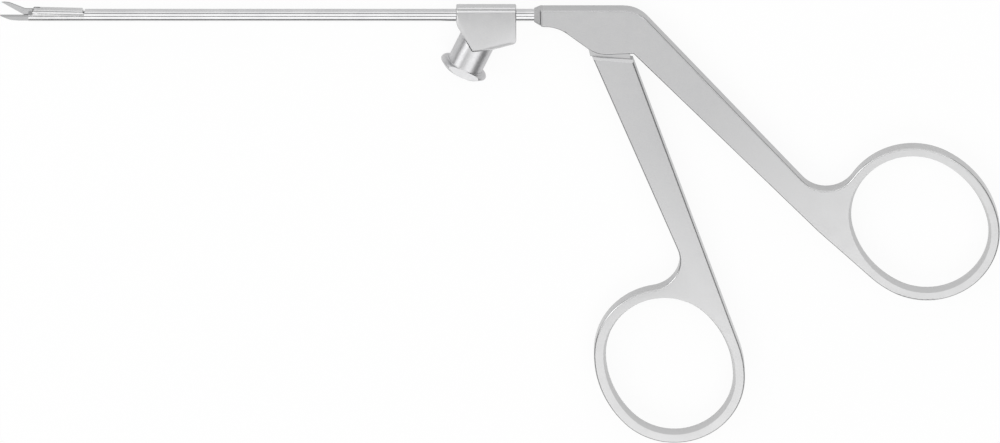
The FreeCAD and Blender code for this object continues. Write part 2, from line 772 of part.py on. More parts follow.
# Port block: saddle over the tube, rounded on top, with a pointed foot for the port
block = new_body("port_block_blank")
place(block, "-port_setback", "axis_height")
block_corners = [
    ("-block_front", "block_rise"),
    ("block_back", "block_rise"),
    ("block_back", "-block_heel_drop"),
    ("block_foot_back", "-block_foot_drop"),
    ("-block_tip_front", "-block_tip_drop"),
    ("-block_front", "-block_cheek_drop"),
]
block_outline = polygon(block, "block_outline", block_corners)
extrude(block, "Pad", "block_plate", block_outline, "block_thickness")
soften(block, "cheek", upright_near(-size["block_front"], -size["block_cheek_drop"]), "block_cheek_round")
soften(block, "heel", upright_near(size["block_back"], -size["block_heel_drop"]), "block_heel_round")


def block_crown(edge):
    box = edge.BoundBox
    return box.YLength < 1e-4 and abs(box.YMax - size["block_rise"]) < 1e-4 and box.XLength > 1


def block_ends(edge):
    box = edge.BoundBox
    spot = middle(edge)
    at_end = abs(spot.x + size["block_front"]) < 1e-3 or abs(spot.x - size["block_back"]) < 1e-3
    return at_end and box.XLength < 1e-4


soften(block, "crown", block_crown, "block_top_round")
soften(block, "end_edges", block_ends, "block_end_round")
block_bore_circle = circle(
    block, "block_bore_circle", "tube_diameter / 2", "0", "0", "YZ_Plane", "-(block_front + 0.5)")
extrude(
    block, "Pocket", "block_bore", block_bore_circle, "block_front + block_back + 1", False, Reversed=True)
block_feed = along_port(
    "block_feed", "feed_diameter / 2", "tube_diameter / 4", "barrel_start + block_tip_drop")
port_block = cut("port_block", block, block_feed)

# Port fitting: turned barrel and flange with two flats, bored to a six per cent taper
fitting = new_body("luer_fitting_blank")
fitting_profile = polygon(fitting, "fitting_outline", [
    ("feed_diameter / 2", "-barrel_start"),
    ("barrel_radius", "-barrel_start"),
    ("barrel_radius", "-flange_start"),
    ("flange_radius", "-flange_start"),
    ("flange_radius", "-(flange_start + flange_thickness)"),
    ("luer_mouth_radius", "-(flange_start + flange_thickness)"),
    ("luer_mouth_radius - luer_depth * tan(luer_taper * 1 deg)",
     "-(flange_start + flange_thickness - luer_depth)"),
    ("feed_diameter / 2", "-(flange_start + flange_thickness - luer_depth)"),
])
turned = fitting.newObject("PartDesign::Revolution", "turned")
turned.Profile = fitting_profile
turned.ReferenceAxis = (fitting_profile, ["V_Axis"])
turned.Angle = 360
doc.recompute()


def turned_edge(radius, height):
    def test(edge):
        box = edge.BoundBox
        flat = box.YLength < 1e-4 and abs(box.YMax + height) < 1e-3
        return flat and abs(box.XMax - radius) < 1e-2
    return test


flange_end = size["flange_start"] + size["flange_thickness"]
grind(fitting, "barrel_top", turned_edge(size["barrel_radius"], size["barrel_start"]), "barrel_bevel")
grind(fitting, "flange_back", turned_edge(size["flange_radius"], size["flange_start"]), "flange_bevel")
soften(fitting, "flange_face", turned_edge(size["flange_radius"], flange_end), "mouth_round")
for side, sign in (("near", 1), ("far", -1)):
    flat_sketch = polygon(fitting, side + "_flat_outline", [
        ("-flange_radius * 1.2", "-(flange_start + flange_thickness * 1.5)"),
        ("flange_radius * 1.2", "-(flange_start + flange_thickness * 1.5)"),
        ("flange_radius * 1.2", "-flange_start"),
        ("-flange_radius * 1.2", "-flange_start"),
    ], "XY_Plane", "%d * flange_flat" % sign)
    extrude(
        fitting, "Pocket", side + "_flat", flat_sketch, "flange_radius", False, Reversed=(sign > 0))
place(fitting, "-port_setback", "axis_height", mid, "-port_slope * 1")
luer = cut("luer_fitting", fitting, block)


# Tip pieces, drawn from the tube's front end on the shaft axis
def place_at_tip(thing):
    place(thing, "-shaft_reach", "axis_height")


def tip_box(name, start, end, low, high, back, front):
    # A block given by its six sides, measured from the tube's front end
    bar = doc.addObject("Part::Box", name)
    bind(
        bar, Length="(" + end + ") - (" + start + ")", Width="(" + high + ") - (" + low + ")",
        Height="(" + front + ") - (" + back + ")",
        Placement__Base__x="-shaft_reach + (" + start + ")",
        Placement__Base__y="axis_height + (" + low + ")",
        Placement__Base__z=mid + " + (" + back + ")")
    return bar


# Fixed blade: a plate on the near side of the lower half-round carrier
blade_plate = new_body("fixed_blade_plate")
place_at_tip(blade_plate)
fixed_outline = polygon(blade_plate, "fixed_blade_outline", [
    ("-(carrier_length + fixed_blade_length)", "edge_height"),
    ("-(carrier_length + fixed_blade_length - 1.75)", "-fixed_blade_depth * 0.88"),
    ("-(carrier_length + fixed_blade_length - fixed_blade_belly)", "-fixed_blade_depth"),
    ("-(carrier_length - 0.3)", "-fixed_blade_depth"),
    ("-(carrier_length - 0.3)", "edge_height"),
])
extrude(blade_plate, "Pad", "fixed_plate", fixed_outline, "blade_thickness", False)
tip_reach = size["carrier_length"] + size["fixed_blade_length"]
soften(
    blade_plate, "fixed_belly",
    upright_near(-(tip_reach - 1.75), -size["fixed_blade_depth"] * 0.88), "fixed_blade_depth * 3")


def fixed_cutting_edge(edge):
    box = edge.BoundBox
    at_top = box.YLength < 1e-4 and abs(box.YMax - size["edge_height"]) < 1e-4
    return at_top and box.XLength > 1 and abs(box.ZMax - size["blade_thickness"]) < 1e-3


grind(blade_plate, "fixed_bevel", fixed_cutting_edge, "grind_depth")
carrier_bar = cylinder(
    "carrier_bar", "tube_diameter / 2", "carrier_length",
    "-(shaft_reach + carrier_length)", "axis_height", mid, ahead)
spigot = cylinder(
    "carrier_spigot", "tube_diameter / 2 - tube_wall - spigot_clearance", "spigot_length",
    "-shaft_reach", "axis_height", mid, ahead)
above_parting = tip_box(
    "above_parting", "-carrier_length - 1", "spigot_length + 1", "parting_height", "tube_diameter",
    "-tube_diameter", "tube_diameter")
blade_slit = tip_box(
    "carrier_blade_slit", "-carrier_length - 1", "-carrier_length + carrier_slit_length",
    "-tube_diameter", "tube_diameter", "-(blade_gap + blade_thickness + blade_slit_clearance)", "0")
rib_groove = tip_box(
    "rib_groove", "-(carrier_length - rib_setback + rod_stroke + 0.1)", "0.01",
    "-(rib_drop + rib_clearance)", "tube_diameter",
    "-(rib_width / 2 + rib_clearance)", "rib_width / 2 + rib_clearance")
rod_groove = tip_box(
    "rod_groove", "-0.1", "spigot_length + 1", "0", "tube_diameter",
    "-(rod_diameter / 2 + rod_groove_clearance)", "rod_diameter / 2 + rod_groove_clearance")
rod_way = cylinder(
    "rod_way", "rod_diameter / 2 + rod_groove_clearance", "spigot_length + 1.1",
    "-shaft_reach - 0.1", "axis_height", mid, ahead)
pin_across = "-(shaft_reach + carrier_length - blade_pivot_back)"
pin_up = "axis_height - blade_pivot_drop"
fixed_pin_hole = cylinder(
    "fixed_pin_hole", "blade_pin_diameter / 2", "tube_diameter * 2", pin_across, pin_up,
    mid + " - tube_diameter")
carrier = cut(
    "carrier", join("carrier_blank", carrier_bar, spigot), above_parting, blade_slit, rib_groove,
    rod_groove, rod_way)
fixed_blade = cut("fixed_blade", join("fixed_blade_blank", carrier, blade_plate), fixed_pin_hole)

# Pivot pin of the moving blade, ground flush with the carrier
pin_bar = cylinder(
    "pin_bar", "blade_pin_diameter / 2", "tube_diameter * 2", pin_across, pin_up, mid + " - tube_diameter")
pin_round = cylinder(
    "pin_round", "tube_diameter / 2", "carrier_length",
    "-(shaft_reach + carrier_length)", "axis_height", mid, ahead)
blade_pin = doc.addObject("Part::Common", "blade_pivot_pin")
blade_pin.Base = pin_bar
blade_pin.Tool = pin_round

# Moving blade, drawn from its own pivot
blade = new_body("moving_blade")
place(blade, pin_across, pin_up)
tail = size["blade_drive_back"]
tail_up = size["blade_drive_height"]
eye = size["blade_pin_diameter"] / 2 + size["blade_pin_clearance"] + size["blade_eye_wall"]
moving_outline = polygon(blade, "moving_blade_outline", [
    ("-moving_blade_length", "moving_blade_rise"),
    ("-moving_root_front", "moving_root_height"),
    (-eye - 0.06, 0.0),
    (-eye, -eye),
    (eye, -eye),
    (tail + 0.05, 0.15),
    (tail + eye + 0.02, tail_up - 0.1),
    (tail + eye + 0.02, tail_up + eye + 0.01),
    ("blade_drive_back / 2", "moving_back_height"),
    ("-moving_root_front + 0.3", "moving_back_height"),
    ("-(moving_blade_length - 1.17)", "moving_blade_rise - 0.09"),
])
extrude(
    blade, "Pad", "moving_plate", moving_outline, "blade_thickness", False)
moving_outline.AttachmentOffset = FreeCAD.Placement(Vector(0, 0, -1), FreeCAD.Rotation())
bind(moving_outline, AttachmentOffset__Base__z="-(blade_gap + blade_thickness)")
doc.recompute()
back_bulge = (-(size["moving_blade_length"] - 1.17), size["moving_blade_rise"] - 0.09)
soften(blade, "back_bulge_round", upright_near(*back_bulge), "moving_back_height")
soften(
    blade, "back_root_round",
    upright_near(-size["moving_root_front"] + 0.3, size["moving_back_height"]), "moving_back_height")


def eye_corners(edge):
    box = edge.BoundBox
    spot = middle(edge)
    upright = box.XLength < 1e-4 and box.YLength < 1e-4
    low = abs(spot.y + eye) < 1e-3 and abs(abs(spot.x) - eye) < 1e-3
    return upright and (low or spot.x > tail + eye - 0.05)


soften(blade, "eye_rounds", eye_corners, "blade_eye_wall * 1.8")


def moving_cutting_edge(edge):
    spot = middle(edge)
    box = edge.BoundBox
    start = Vector(-size["moving_blade_length"], size["moving_blade_rise"], 0)
    end = Vector(-size["moving_root_front"], size["moving_root_height"], 0)
    flat = Vector(spot.x, spot.y, 0)
    on_line = (flat - start).cross((end - start).normalize()).Length < 1e-3
    far = abs(box.ZMin + size["blade_gap"] + size["blade_thickness"]) < 1e-3
    return on_line and box.ZLength < 1e-4 and far and box.XLength > 1


grind(blade, "moving_bevel", moving_cutting_edge, "grind_depth")
blade_hole = circle(blade, "blade_pivot_circle", "blade_pin_diameter / 2 + blade_pin_clearance")
extrude(blade, "Pocket", "blade_pivot_bore", blade_hole, "tube_diameter * 2")


def cam_point(share):
    # Where the slide's pin stands in the blade when it has made this share of its stroke
    turn = FreeCAD.Rotation(Vector(0, 0, 1), -size["blade_swing"] * share)
    return turn.multVec(Vector(tail - size["rod_stroke"] * share, tail_up, 0))


def arc_slot(body, name, first, through, last, radius):
    # A curved slot of even width whose middle line runs through three points
    path = Part.Arc(first, through, last).toShape().Curve
    centre = path.Center
    spread = path.Radius
    start = math.atan2(first.y - centre.y, first.x - centre.x)
    stop = math.atan2(last.y - centre.y, last.x - centre.x)
    if (stop - start) % (2 * math.pi) > math.pi:
        start, stop = stop, start
        first, last = last, first
    start = start % (2 * math.pi)
    stop = start + (stop - start) % (2 * math.pi)
    up = Vector(0, 0, 1)
    sketch = new_sketch(body, name)
    arcs = [
        (centre, spread + radius, start, stop),
        (last, radius, stop, stop + math.pi),
        (centre, spread - radius, start, stop),
        (first, radius, start + math.pi, start + 2 * math.pi),
    ]
    for spot, reach, begin, finish in arcs:
        sketch.addGeometry(Part.ArcOfCircle(Part.Circle(spot, up, reach), begin, finish), False)
    sketch.addConstraint(Sketcher.Constraint("Coincident", 0, 2, 1, 1))
    sketch.addConstraint(Sketcher.Constraint("Coincident", 1, 2, 2, 2))
    sketch.addConstraint(Sketcher.Constraint("Coincident", 2, 1, 3, 1))
    sketch.addConstraint(Sketcher.Constraint("Coincident", 3, 2, 0, 1))
    limit(
        sketch, Sketcher.Constraint("Radius", 1, radius), "radius",
        "blade_pin_diameter / 2 + blade_pin_clearance")
    return sketch


slot_radius = size["blade_pin_diameter"] / 2 + size["blade_pin_clearance"]
cam_slot = arc_slot(
    blade, "cam_slot_outline", cam_point(-0.03), cam_point(0.5), cam_point(1.03), slot_radius)
extrude(blade, "Pocket", "cam_slot", cam_slot, "tube_diameter * 2")

# Slide head: upper half-round with a guide rib, a slit for the blade and the rod's socket
slide = new_body("slide_head")
place_at_tip(slide)
slide_bottom = "parting_height + slide_gap"
slide_front = "(carrier_length - slide_setback)"
slide_outline = polygon(slide, "slide_outline", [
    ("-" + slide_front, slide_bottom),
    ("-" + slide_front, "slide_nose_height"),
    ("slide_nose_back - " + slide_front, "slide_front_height"),
    ("-slide_rear", "slide_rear_height"),
    ("-slide_rear / 5", "parting_height * 1.8"),
    ("-slide_rear / 5", slide_bottom),
])
extrude(slide, "Pad", "slide_bar", slide_outline, "slide_width")


def slide_top_edges(edge):
    box = edge.BoundBox
    side = box.ZLength < 1e-4 and abs(abs(box.ZMin) - size["slide_width"] / 2) < 1e-3
    return side and box.XLength > 5 and box.YMin > size["slide_nose_height"]


soften(slide, "slide_rounds", slide_top_edges, "slide_round")
rib_outline = polygon(slide, "rib_outline", [
    ("-(carrier_length - rib_setback)", "parting_height + slide_gap * 2"),
    ("-(carrier_length - rib_setback)", "-rib_drop"),
    ("-slide_rear", "-rib_drop"),
    ("-slide_rear", "parting_height + slide_gap * 2"),
])
extrude(slide, "Pad", "guide_rib", rib_outline, "rib_width")
socket_circle = circle(slide, "rod_socket_circle", "rod_diameter / 2", "0", "0", "YZ_Plane", "-slide_rear")
extrude(slide, "Pocket", "rod_socket_bore", socket_circle, "rod_socket", False)
slide_slit = polygon(slide, "slide_slit_outline", [
    ("-1 - " + slide_front, "-tube_diameter"),
    ("slide_slit_length - " + slide_front, "-tube_diameter"),
    ("slide_slit_length - " + slide_front, "tube_diameter"),
    ("-1 - " + slide_front, "tube_diameter"),
], "XY_Plane", "blade_slit_clearance")
extrude(
    slide, "Pocket", "slide_slit", slide_slit,
    "blade_thickness + blade_gap + 2 * blade_slit_clearance", False)
drive_across = "-(carrier_length - blade_pivot_back - blade_drive_back)"
drive_up = "blade_drive_height - blade_pivot_drop"
slide_pin_circle = circle(slide, "slide_pin_circle", "blade_pin_diameter / 2", drive_across, drive_up)
extrude(slide, "Pocket", "slide_pin_bore", slide_pin_circle, "tube_diameter * 2")
blade_drive_pin = cylinder(
    "blade_drive_pin", "blade_pin_diameter / 2", "slide_width - 0.03",
    "-shaft_reach + " + drive_across, "axis_height + " + drive_up, mid + " - slide_width / 2 + 0.015")

# Every object is checked before any file is written
doc.recompute()
pieces = [
    frame, lever, pivot_pin, drive_pin, push_rod, rod_eye, tube, seal, bush, port_block, luer,
    fixed_blade, blade, slide, blade_pin, blade_drive_pin,
]
for item in doc.Objects:
    if "Invalid" in item.State or "Error" in item.State:
        raise RuntimeError("failed object: " + item.Name)
os.makedirs("parts", exist_ok=True)
for item in pieces:
    if item.Shape.isNull() or not item.Shape.isValid() or len(item.Shape.Solids) != 1:
        raise RuntimeError("bad shape: " + item.Label)
    item.Shape.exportStep("parts/" + item.Label + ".step")
    box = item.Shape.BoundBox
    print(item.Label, round(item.Shape.Volume, 4), box)
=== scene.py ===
import math
import bmesh
import bpy
from mathutils import Matrix, Vector


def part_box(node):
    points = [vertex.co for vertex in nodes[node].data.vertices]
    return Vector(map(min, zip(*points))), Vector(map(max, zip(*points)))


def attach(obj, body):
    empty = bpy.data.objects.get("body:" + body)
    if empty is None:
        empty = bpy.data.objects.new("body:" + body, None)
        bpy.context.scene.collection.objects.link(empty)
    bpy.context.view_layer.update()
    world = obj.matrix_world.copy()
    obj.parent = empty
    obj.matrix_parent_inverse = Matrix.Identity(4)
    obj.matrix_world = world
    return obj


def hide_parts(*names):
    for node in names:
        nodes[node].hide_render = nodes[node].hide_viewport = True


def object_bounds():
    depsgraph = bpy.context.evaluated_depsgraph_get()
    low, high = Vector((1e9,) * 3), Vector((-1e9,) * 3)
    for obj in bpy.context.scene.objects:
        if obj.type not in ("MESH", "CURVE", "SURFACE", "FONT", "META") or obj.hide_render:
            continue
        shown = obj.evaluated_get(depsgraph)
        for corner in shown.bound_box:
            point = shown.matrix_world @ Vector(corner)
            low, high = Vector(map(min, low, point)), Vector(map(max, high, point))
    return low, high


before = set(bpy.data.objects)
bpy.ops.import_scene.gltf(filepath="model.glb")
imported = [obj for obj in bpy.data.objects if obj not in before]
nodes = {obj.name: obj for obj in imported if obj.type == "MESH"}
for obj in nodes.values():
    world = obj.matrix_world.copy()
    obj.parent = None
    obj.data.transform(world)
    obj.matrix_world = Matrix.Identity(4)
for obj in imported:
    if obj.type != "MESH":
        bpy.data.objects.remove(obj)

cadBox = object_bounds()
scene = bpy.context.scene
print("frame loaded:", len(nodes), "solids")


# Small helpers for node trees

def newMaterial(name, viewColor):
    material = bpy.data.materials.new(name)
    material.use_nodes = True
    material.diffuse_color = viewColor
    tree = material.node_tree
    tree.nodes.clear()
    output = tree.nodes.new("ShaderNodeOutputMaterial")
    return material, tree, output


def addNode(tree, kind, sockets=None, **settings):
    node = tree.nodes.new(kind)
    for name, value in settings.items():
        setattr(node, name, value)
    for name, value in (sockets or {}).items():
        if isinstance(value, bpy.types.NodeSocket):
            tree.links.new(value, node.inputs[name])
        else:
            node.inputs[name].default_value = value
    return node


def mixColors(tree, factor, first, second):
    node = addNode(tree, "ShaderNodeMix", {0: factor, 6: first, 7: second}, data_type="RGBA")
    return node.outputs[2]


def mixNumbers(tree, factor, first, second):
    node = addNode(tree, "ShaderNodeMix", {0: factor, 2: first, 3: second}, data_type="FLOAT")
    return node.outputs[0]


def blendRange(tree, value, low, high, toLow, toHigh):
    # Spreads a value between two limits onto another range, without running past it
    node = addNode(
        tree, "ShaderNodeMapRange",
        {"Value": value, "From Min": low, "From Max": high, "To Min": toLow, "To Max": toHigh})
    return node.outputs["Result"]


def stretchedNoise(tree, coordinates, stretch, detail=2.0):
    # Noise whose grain is drawn out along the axes with the small numbers
    mapping = addNode(tree, "ShaderNodeMapping", {"Vector": coordinates, "Scale": stretch})
    noise = addNode(
        tree, "ShaderNodeTexNoise",
        {"Vector": mapping.outputs["Vector"], "Scale": 1.0, "Detail": detail, "Roughness": 0.6})
    return noise.outputs["Fac"]


# Steel finishes: one function, a dictionary for each finish

steelSpans = {
    "cloudDetail": 3.0,
    "grainDetail": 2.0,
    "cloud": (0.3, 0.7),
    "cloudAndGrain": (0.7, 1.3),
    "broadFace": (0.86, 0.97),  # how square to Z a surface stands, from wall to broad face
}


def makeSteel(name, finish):
    material, tree, output = newMaterial(name, (*finish["dark"], 1.0))
    place = addNode(tree, "ShaderNodeTexCoord")
    coordinates = place.outputs["Object"]
    cloud = stretchedNoise(tree, coordinates, [finish["cloudScale"]] * 3, steelSpans["cloudDetail"])
    grain = stretchedNoise(tree, coordinates, finish["grainStretch"], steelSpans["grainDetail"])
    shade = addNode(tree, "ShaderNodeMath", {0: cloud, 1: grain}, operation="ADD")
    lightness = blendRange(tree, shade.outputs[0], *steelSpans["cloudAndGrain"], 0.0, 1.0)
    tint = mixColors(tree, lightness, (*finish["dark"], 1.0), (*finish["light"], 1.0))
    rough = blendRange(tree, cloud, *steelSpans["cloud"], finish["smoothest"], finish["roughest"])
    if "rimSmoothness" in finish:
        # The broad faces are blasted, and every side wall and rim is polished
        split = addNode(tree, "ShaderNodeSeparateXYZ", {"Vector": place.outputs["Normal"]})
        facing = addNode(tree, "ShaderNodeMath", {0: split.outputs["Z"]}, operation="ABSOLUTE")
        mask = blendRange(tree, facing.outputs[0], *steelSpans["broadFace"], 0.0, 1.0)
        rough = mixNumbers(tree, mask, finish["rimSmoothness"], rough)
        tint = mixColors(tree, mask, (*finish["rimColor"], 1.0), tint)
    if "paintedLightAndBladeReach" in finish:
        # Far from the lever's pivot the colour changes: painted light makes the arms lighter at the rings,
        # and the steel at the carrier's blade tip is darker
        reach = addNode(tree, "ShaderNodeVectorMath", {0: coordinates}, operation="LENGTH")
        paintedLightAndBladeMask = blendRange(tree, reach.outputs["Value"], *finish["paintedLightAndBladeReach"], 0.0, finish["paintedLightAndBladeShare"])
        tint = mixColors(tree, paintedLightAndBladeMask, tint, (*finish["paintedLightAndBladeColor"], 1.0))
    if "noseReach" in finish:
        # The cone around the tube is blasted all over
        side = addNode(tree, "ShaderNodeSeparateXYZ", {"Vector": coordinates})
        onNose = blendRange(tree, side.outputs["X"], *finish["noseReach"], 1.0, 0.0)
        rough = mixNumbers(tree, onNose, rough, finish["noseRoughness"])
    bump = addNode(
        tree, "ShaderNodeBump",
        {"Height": grain, "Strength": finish["bumpStrength"], "Distance": finish["bumpDepth"]})
    shader = addNode(
        tree, "ShaderNodeBsdfPrincipled",
        {"Base Color": tint, "Metallic": 1.0, "Roughness": rough,
         "Normal": bump.outputs["Normal"]})
    tree.links.new(shader.outputs["BSDF"], output.inputs["Surface"])
    return material


satinFinish = {
    "dark": (0.4, 0.4, 0.405),
    "light": (0.45, 0.45, 0.452),
    "cloudScale": 420.0,
    "grainStretch": (5200.0, 5200.0, 5200.0),
    "smoothest": 0.32,
    "roughest": 0.38,
    "rimSmoothness": 0.12,
    "rimColor": (0.49, 0.49, 0.495),
    # The next three entries paint light: the arms turn lighter towards the rings, a painted highlight
    "paintedLightAndBladeReach": (0.02, 0.055),
    "paintedLightAndBladeShare": 0.8,
    "paintedLightAndBladeColor": (0.55, 0.55, 0.552),
    "bumpStrength": 0.12,
    "bumpDepth": 0.00002,
}

# The handle has the same finish, and a blasted nose
handleFinish = dict(satinFinish, noseReach=(-0.01035, -0.01005), noseRoughness=0.55)

# The port block is polished a little brighter than the handle
blockFinish = dict(
    satinFinish, dark=(0.46, 0.46, 0.465), light=(0.51, 0.51, 0.512), rimColor=(0.56, 0.56, 0.565))

drawnFinish = {
    "dark": (0.54, 0.54, 0.55),
    "light": (0.62, 0.62, 0.625),
    "cloudScale": 300.0,
    "grainStretch": (160.0, 9000.0, 9000.0),
    "smoothest": 0.08,
    "roughest": 0.13,
    "bumpStrength": 0.04,
    "bumpDepth": 0.00001,
}

turnedFinish = {
    "dark": (0.54, 0.54, 0.55),
    "light": (0.63, 0.63, 0.635),
    "cloudScale": 500.0,
    "grainStretch": (2500.0, 6500.0, 2500.0),
    "smoothest": 0.31,
    "roughest": 0.37,
    "bumpStrength": 0.06,
    "bumpDepth": 0.000012,
}

groundFinish = {
    "dark": (0.5, 0.5, 0.505),
    "light": (0.6, 0.6, 0.603),
    "cloudScale": 700.0,
    "grainStretch": (14000.0, 1500.0, 1500.0),
    "smoothest": 0.14,
    "roughest": 0.22,
    "bumpStrength": 0.08,
    "bumpDepth": 0.00001,
}

# The blades are ground darker than the two half-rounds that carry them
bladeFinish = dict(groundFinish, dark=(0.31, 0.31, 0.315), light=(0.37, 0.37, 0.373))
carrierFinish = dict(groundFinish, paintedLightAndBladeReach=(0.09115, 0.09125), paintedLightAndBladeShare=1.0, paintedLightAndBladeColor=(0.32, 0.32, 0.323))


# Seal: milky rubber, mostly hidden behind the tube

sealLook = {"dark": (0.62, 0.6, 0.55), "light": (0.72, 0.7, 0.65), "cloudScale": 900.0, "roughness": 0.55}


def makeSealRubber(look):
    material, tree, output = newMaterial("sealRubber", (*look["light"], 1.0))
    place = addNode(tree, "ShaderNodeTexCoord")
    cloud = stretchedNoise(tree, place.outputs["Object"], [look["cloudScale"]] * 3)
    tint = mixColors(tree, cloud, (*look["dark"], 1.0), (*look["light"], 1.0))
    shader = addNode(
        tree, "ShaderNodeBsdfPrincipled",
        {"Base Color": tint, "Roughness": look["roughness"]})
    tree.links.new(shader.outputs["BSDF"], output.inputs["Surface"])
    return material


satinSteel = makeSteel("satinSteel", satinFinish)
handleSteel = makeSteel("handleSteel", handleFinish)
drawnSteel = makeSteel("drawnSteel", drawnFinish)
turnedSteel = makeSteel("turnedSteel", turnedFinish)
groundSteel = makeSteel("groundSteel", groundFinish)
blockSteel = makeSteel("blockSteel", blockFinish)
bladeSteel = makeSteel("bladeSteel", bladeFinish)
carrierSteel = makeSteel("carrierSteel", carrierFinish)
sealRubber = makeSealRubber(sealLook)

dress = {
    "handle_frame": handleSteel,
    "finger_lever": satinSteel,
    "lever_pivot_pin": satinSteel,
    "port_block": blockSteel,
    "luer_fitting": turnedSteel,
    "rod_guide_bush": turnedSteel,
    "rod_end_eye": turnedSteel,
    "shaft_tube": drawnSteel,
    "push_rod": drawnSteel,
    "rod_drive_pin": drawnSteel,
    "slide_head": groundSteel,
    "fixed_blade": carrierSteel,
    "moving_blade": bladeSteel,
    "blade_pivot_pin": groundSteel,
    "blade_drive_pin": groundSteel,
    "rod_seal": sealRubber,
}
for nodeName, material in dress.items():
    mesh = nodes[nodeName].data
    mesh.materials.clear()
    mesh.materials.append(material)
print("solids dressed:", len(dress))


# Shaping helpers shared by the pieces below; sizes are in millimetres

mm = 0.001
weldReach = {"solid": 0.001 * mm, "cut": 0.002 * mm}
plateSegments = 8
creaseAngle = math.radians(30.0)
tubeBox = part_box("shaft_tube")
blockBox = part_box("port_block")
tubeAxis = (Vector(tubeBox[0]) + Vector(tubeBox[1])) / 2


def meshToObject(name, bm):
    # Smooth all over, with a crease wherever two faces meet sharply
    for face in bm.faces:
        face.smooth = True
    for edge in bm.edges:
        edge.smooth = len(edge.link_faces) == 2 and edge.calc_face_angle(0.0) < creaseAngle
    mesh = bpy.data.meshes.new(name)
    bm.to_mesh(mesh)
    bm.free()
    piece = bpy.data.objects.new(name, mesh)
    scene.collection.objects.link(piece)
    return piece


def removePiece(piece):
    mesh = piece.data
    bpy.data.objects.remove(piece)
    bpy.data.meshes.remove(mesh)


def cutAway(bm, cutter):
    # Takes the cutter's shape out of the piece
    body = meshToObject("cutBody", bm)
    tool = meshToObject("cutTool", cutter)
    modifier = body.modifiers.new("cut", "BOOLEAN")
    modifier.operation = "DIFFERENCE"
    modifier.solver = "EXACT"
    modifier.object = tool
    graph = bpy.context.evaluated_depsgraph_get()
    cutMesh = bpy.data.meshes.new_from_object(body.evaluated_get(graph))
    removePiece(body)
    removePiece(tool)
    result = bmesh.new()
    result.from_mesh(cutMesh)
    bpy.data.meshes.remove(cutMesh)
    bmesh.ops.remove_doubles(result, verts=result.verts, dist=weldReach["cut"])
    bmesh.ops.recalc_face_normals(result, faces=result.faces)
    return result


def drawOut(bm, travel):
    # Draws a flat sheet out into a solid bar
    drawn = bmesh.ops.extrude_face_region(bm, geom=bm.faces[:])
    moved = [item for item in drawn["geom"] if isinstance(item, bmesh.types.BMVert)]
    bmesh.ops.translate(bm, verts=moved, vec=travel)
    bmesh.ops.recalc_face_normals(bm, faces=bm.faces)


def plateFrom(corners, low, high, rounds=None):
    # A flat plate: the outline's corners, some of them rounded, drawn from one height to the other
    bm = bmesh.new()
    outline = bm.faces.new([bm.verts.new((x * mm, y * mm, low * mm)) for x, y in corners])
    corner = list(outline.verts)
    for index, offset in (rounds or {}).items():
        bmesh.ops.bevel(
            bm, geom=[corner[index]], offset=offset * mm, segments=plateSegments, profile=0.5,
            affect="VERTICES", material=-1)
    drawOut(bm, Vector((0.0, 0.0, (high - low) * mm)))
    return bm


def placePiece(piece, material, node, body):
    # The piece stands in for its CAD node and moves with a body
    piece.data.materials.append(material)
    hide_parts(node)
    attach(piece, body)
    return piece


# Port block: a saddle over the tube, rounded on top, that flares down to the width of the barrel

portBlock = {
    "corners": [(-5.32, 1.75), (4.13, 1.75), (4.13, -3.95), (0.48, -4.92), (-2.82, -5.1), (-5.32, -1.11)],
    "cornerRounds": {2: 0.46, 4: 0.12, 5: 0.575},
    "halfThickness": 1.2,
    "crown": 1.19,
    "crownSegments": 12,
    "rim": 0.22,
    "rimSegments": 3,
    "rimAngle": 50.0,
    "flareFrom": 0.56,
    "flare": 0.253,
    "faceTaper": 0.021,
    "faceMiddle": -0.6,
    "faceBand": 0.01,
    "boreRadius": 0.966,
    "boreLength": 30.0,
    "boreSteps": 96,
}
portMark = Vector((blockBox[0][0] - portBlock["corners"][0][0] * mm, tubeAxis.y, tubeAxis.z))  # port on tube


def makePortBlock(look):
    half = look["halfThickness"]
    top = look["corners"][0][1]
    bm = plateFrom(look["corners"], -half, half, look["cornerRounds"])
    crown = [
        edge for edge in bm.edges
        if all(abs(vert.co.y - top * mm) < 1e-7 for vert in edge.verts)
        and abs(edge.verts[0].co.z - edge.verts[1].co.z) < 1e-7]
    bmesh.ops.bevel(
        bm, geom=crown, offset=look["crown"] * mm, segments=look["crownSegments"], profile=0.5,
        affect="EDGES", material=-1)
    rim = [edge for edge in bm.edges if edge.calc_face_angle(0.0) > math.radians(look["rimAngle"])]
    bmesh.ops.bevel(
        bm, geom=rim, offset=look["rim"] * mm, segments=look["rimSegments"], profile=0.5,
        affect="EDGES", material=-1)
    for vert in bm.verts:
        depth = look["flareFrom"] * mm - vert.co.y
        if depth > 0:
            if abs(vert.co.z) > (half - look["faceBand"]) * mm:
                # The broad faces narrow downwards, which leaves a wedge at both ends
                shift = vert.co.x - look["faceMiddle"] * mm
                vert.co.x = look["faceMiddle"] * mm + shift * (1 - look["faceTaper"] * depth / mm)
            vert.co.z *= 1 + look["flare"] * depth / mm
    bore = bmesh.new()
    bmesh.ops.create_cone(
        bore, cap_ends=True, segments=look["boreSteps"],
        radius1=look["boreRadius"] * mm, radius2=look["boreRadius"] * mm, depth=look["boreLength"] * mm,
        matrix=Matrix.Rotation(math.radians(90), 4, "Y"))
    bm = cutAway(bm, bore)
    bmesh.ops.translate(bm, verts=bm.verts, vec=portMark)
    piece = meshToObject("portBlock", bm)
    return placePiece(piece, blockSteel, "port_block", "frame")


makePortBlock(portBlock)


# Port fitting: a turned barrel and flange on the slanted axis, with a flat on each broad side

portFitting = {
    "slope": 25.3,
    "profile": [
        (0.6, 4.2), (2.9, 4.2), (2.9, 9.2), (2.98, 9.3), (3.45, 9.34), (3.7, 9.45), (3.83, 9.6), (3.87, 9.76),
        (3.83, 9.88), (3.0, 10.5), (2.85, 10.55), (2.2, 10.55), (2.15, 10.5), (2.024, 6.35), (0.6, 6.35)],
    "steps": 96,
    "flat": 2.92,
    "seat": 6.0,
}


